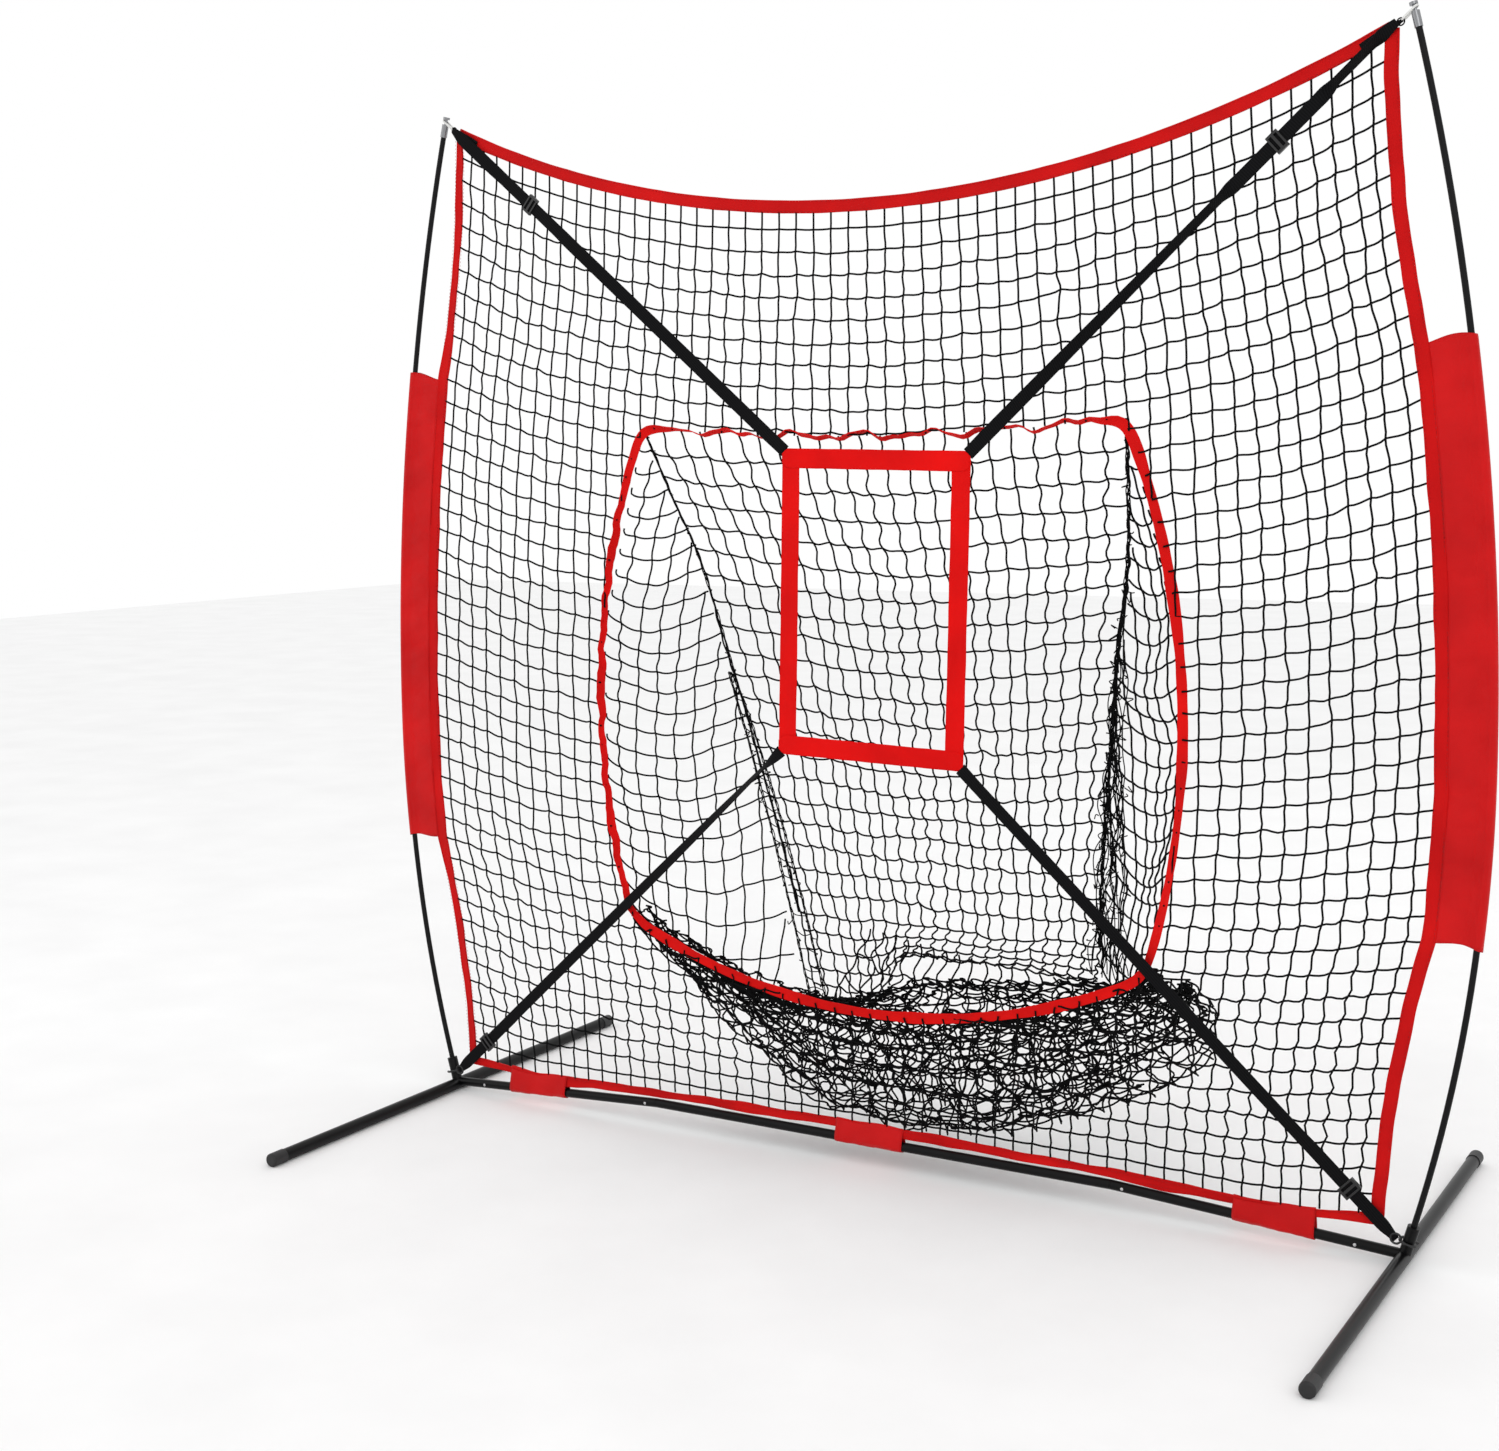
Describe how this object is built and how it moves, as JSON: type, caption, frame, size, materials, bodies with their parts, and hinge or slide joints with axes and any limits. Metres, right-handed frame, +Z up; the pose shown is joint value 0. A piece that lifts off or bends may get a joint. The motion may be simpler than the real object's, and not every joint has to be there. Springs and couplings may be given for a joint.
{
  "type": "pitching target net",
  "caption": "Bow-framed pitching net with a catch pocket behind a large opening and a strap-hung rectangular strike zone, free-standing on two base tubes.",
  "frame": {"origin": "on the ground, midway between the two base tubes, in the plane of the net", "axes": "+X to the thrower's right along the crossbar, +Y away from the thrower to the back, +Z up"},
  "size_m": [2.3508, 1.2, 2.1357],
  "materials": {
    "steel_black": "gloss black powder coat on steel tube",
    "rubber_black": "moulded black rubber, slightly shiny",
    "button_steel": "bright zinc-plated steel",
    "spring_steel": "plain spring steel",
    "fibreglass_black": "pultruded black fibreglass, satin",
    "ferrule_steel": "bright drawn steel tube",
    "tip_aluminium": "bright turned aluminium",
    "elastic_white": "braided white shock cord",
    "webbing_black": "woven black polyester webbing",
    "netting_black": "knotless black polyester netting twine",
    "red_tape": "red woven polyester binding, stitched along both edges",
    "red_fabric": "red woven polyester cloth, slight sheen",
    "plastic_black": "moulded black acetal, satin"
  },
  "bodies": {
    "frame": {"leg_tube_left": "steel_black", "leg_tube_right": "steel_black", "bar_stub_left": "steel_black", "bar_stub_right": "steel_black", "pole_socket_left": "steel_black", "pole_socket_right": "steel_black", "foot_cap_left_front": "rubber_black", "foot_cap_left_rear": "rubber_black", "foot_cap_right_front": "rubber_black", "foot_cap_right_rear": "rubber_black", "crossbar_left": "steel_black", "crossbar_center": "steel_black", "crossbar_right": "steel_black", "spring_hub_left": "spring_steel", "spring_hub_right": "spring_steel", "spring_mid_left": "spring_steel", "spring_mid_right": "spring_steel", "pole_lower_left": "fibreglass_black", "pole_lower_right": "fibreglass_black", "pole_middle_left": "fibreglass_black", "pole_middle_right": "fibreglass_black", "pole_upper_left": "fibreglass_black", "pole_upper_right": "fibreglass_black", "ferrule_lower_left": "ferrule_steel", "ferrule_lower_right": "ferrule_steel", "ferrule_upper_left": "ferrule_steel", "ferrule_upper_right": "ferrule_steel", "pole_tip_left": "tip_aluminium", "pole_tip_right": "tip_aluminium", "elastic_loop_left": "elastic_white", "elastic_loop_right": "elastic_white", "corner_loop_left": "webbing_black", "corner_loop_right": "webbing_black", "net_panel": "netting_black", "net_pocket": "netting_black", "hem_top": "red_tape", "hem_bottom": "red_tape", "hem_left": "red_tape", "hem_right": "red_tape", "sleeve_left": "red_fabric", "sleeve_right": "red_fabric", "opening_trim": "red_tape", "bar_wrap_left": "red_fabric", "bar_wrap_center": "red_fabric", "bar_wrap_right": "red_fabric", "strap_top_left": "webbing_black", "strap_top_right": "webbing_black", "strap_bottom_left": "webbing_black", "strap_bottom_right": "webbing_black", "hook_left": "plastic_black", "hook_right": "plastic_black"},
    "strike_zone": {"strike_zone": "red_fabric"},
    "adjuster_top_left": {"adjuster_top_left": "plastic_black"},
    "adjuster_top_right": {"adjuster_top_right": "plastic_black"},
    "adjuster_bottom_left": {"adjuster_bottom_left": "plastic_black"},
    "adjuster_bottom_right": {"adjuster_bottom_right": "plastic_black"},
    "button_hub_left": {"button_hub_left": "button_steel"},
    "button_hub_right": {"button_hub_right": "button_steel"},
    "button_mid_left": {"button_mid_left": "button_steel"},
    "button_mid_right": {"button_mid_right": "button_steel"}
  },
  "joints": [
    {"name": "zone_lift", "type": "slide", "parent": "frame", "child": "strike_zone", "axis": [0, 0, 1], "range_m": [-0.1, 0.1], "deforming": ["strap_top_left", "strap_top_right", "strap_bottom_left", "strap_bottom_right"]},
    {"name": "adjuster_top_left_slide", "type": "slide", "parent": "frame", "child": "adjuster_top_left", "axis": [0.9098, 0, -0.415], "range_m": [-0.07, 0.07]},
    {"name": "adjuster_top_right_slide", "type": "slide", "parent": "frame", "child": "adjuster_top_right", "axis": [-0.891, 0, -0.4541], "range_m": [-0.07, 0.07]},
    {"name": "adjuster_bottom_left_slide", "type": "slide", "parent": "frame", "child": "adjuster_bottom_left", "axis": [-0.7962, 0, -0.6051], "range_m": [-0.07, 0.07]},
    {"name": "adjuster_bottom_right_slide", "type": "slide", "parent": "frame", "child": "adjuster_bottom_right", "axis": [0.7975, 0, -0.6033], "range_m": [-0.07, 0.07]},
    {"name": "button_hub_left_press", "type": "slide", "parent": "frame", "child": "button_hub_left", "axis": [0, 1, 0], "range_m": [0, 0.0035], "stiffness_N_per_m": 1500, "springref_m": -0.003, "deforming": ["spring_hub_left"]},
    {"name": "button_hub_right_press", "type": "slide", "parent": "frame", "child": "button_hub_right", "axis": [0, 1, 0], "range_m": [0, 0.0035], "stiffness_N_per_m": 1500, "springref_m": -0.003, "deforming": ["spring_hub_right"]},
    {"name": "button_mid_left_press", "type": "slide", "parent": "frame", "child": "button_mid_left", "axis": [0, 1, 0], "range_m": [0, 0.0035], "stiffness_N_per_m": 1500, "springref_m": -0.003, "deforming": ["spring_mid_left"]},
    {"name": "button_mid_right_press", "type": "slide", "parent": "frame", "child": "button_mid_right", "axis": [0, 1, 0], "range_m": [0, 0.0035], "stiffness_N_per_m": 1500, "springref_m": -0.003, "deforming": ["spring_mid_right"]}
  ],
  "couplings": [
    {"joint": "adjuster_top_left_slide", "follows": "zone_lift", "ratio": 0.6719},
    {"joint": "adjuster_top_right_slide", "follows": "zone_lift", "ratio": 0.6951},
    {"joint": "adjuster_bottom_left_slide", "follows": "zone_lift", "ratio": 0.6814},
    {"joint": "adjuster_bottom_right_slide", "follows": "zone_lift", "ratio": 0.6808}
  ]
}
